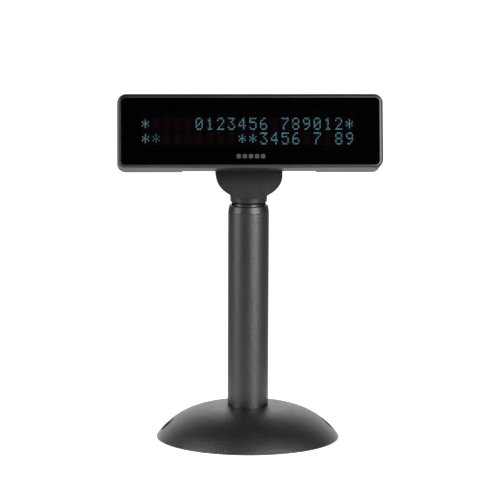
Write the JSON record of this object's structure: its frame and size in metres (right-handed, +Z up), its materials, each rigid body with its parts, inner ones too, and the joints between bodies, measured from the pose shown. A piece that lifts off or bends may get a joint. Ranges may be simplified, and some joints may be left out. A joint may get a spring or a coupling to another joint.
{
  "type": "customer pole display",
  "caption": "Customer display with a two-line character panel in a slim tilting head, on a swivelling knuckle, a round pole and a weighted domed base.",
  "frame": {"origin": "on the counter surface under the pole's axis, at the centre of the feet", "axes": "+Z up along the pole, -Y the way the display faces at rest, +X to the right as the customer sees it"},
  "size_m": [0.1924, 0.135, 0.2572],
  "materials": {
    "dome_plastic": "satin moulded, fine spark texture",
    "weight_iron": "rough cast, blackened",
    "cover_steel": "black coated sheet",
    "foot_rubber": "matte",
    "screw_steel": "zinc plated",
    "screw_black": "black oxide",
    "socket_cast": "die cast",
    "pole_paint": "fine-texture powder coat, semi-matte",
    "cap_plastic": "satin",
    "bushing_nylon": "natural nylon",
    "knuckle_plastic": "fine texture",
    "plated_steel": "nickel plated",
    "ring_polished": "polished black",
    "bezel_plastic": "semi-gloss",
    "window_tint": "polished smoked acrylic",
    "seal_foam": "closed-cell foam",
    "housing_plastic": "semi-gloss",
    "bracket_steel": "black plated",
    "vfd_glass": "clear",
    "anode_black": "black dielectric on glass",
    "frit_seal": "fused frit",
    "grid_mesh": "etched mesh",
    "filament_wire": "coated wire",
    "circuit_board": "solder mask",
    "chip_epoxy": "moulded epoxy",
    "ferrite": "shielded ferrite",
    "capacitor_sleeve": "shrink sleeve",
    "socket_plastic": "moulded",
    "gold_contact": "gold flash"
  },
  "bodies": {
    "stand": {"base_dome": "dome_plastic", "base_weight": "weight_iron", "base_bottom_cover": "cover_steel", "rubber_feet": "foot_rubber", "cover_screws": "screw_steel", "dome_screws": "screw_steel", "pole_socket_screws": "screw_steel", "pole_socket": "socket_cast", "pole_tube": "pole_paint", "pole_top_cap": "cap_plastic", "swivel_bushing": "bushing_nylon"},
    "neck": {"knuckle_front": "knuckle_plastic", "knuckle_rear": "knuckle_plastic", "knuckle_screws": "screw_black", "swivel_spindle": "plated_steel", "swivel_ring": "ring_polished", "swivel_stop_washer": "plated_steel", "swivel_slip_washer": "bushing_nylon", "swivel_spring_washer": "plated_steel", "swivel_nut": "plated_steel"},
    "head": {"front_bezel": "bezel_plastic", "display_window": "window_tint", "window_seal": "seal_foam", "rear_housing": "housing_plastic", "housing_screws": "screw_black", "hinge_bracket": "bracket_steel", "bracket_screws": "screw_black", "tilt_axle": "plated_steel", "friction_washers": "bushing_nylon", "axle_spring_washers": "plated_steel", "axle_nuts": "plated_steel", "vfd_front_glass": "vfd_glass", "vfd_anode_plate": "anode_black", "vfd_seal_frame": "frit_seal", "vfd_grids": "grid_mesh", "vfd_filaments": "filament_wire", "vfd_filament_posts": "plated_steel", "vfd_pins": "plated_steel", "vfd_cushions": "seal_foam", "driver_board": "circuit_board", "board_screws": "screw_steel", "control_chip": "chip_epoxy", "grid_driver_chips": "chip_epoxy", "supply_inductor": "ferrite", "supply_capacitors": "capacitor_sleeve", "clock_crystal": "plated_steel", "port_board": "circuit_board", "port_board_screws": "screw_steel", "interface_socket": "socket_plastic", "socket_contacts": "gold_contact", "board_link": "socket_plastic"}
  },
  "joints": [
    {"name": "head_swivel", "type": "hinge", "parent": "stand", "child": "neck", "pos_m": [0, 0, 0.17], "axis": [0, 0, 1], "range_deg": [-155, 155]},
    {"name": "head_tilt", "type": "hinge", "parent": "neck", "child": "head", "pos_m": [0, 0, 0.2115], "axis": [-1, 0, 0], "range_deg": [-14, 16]}
  ]
}
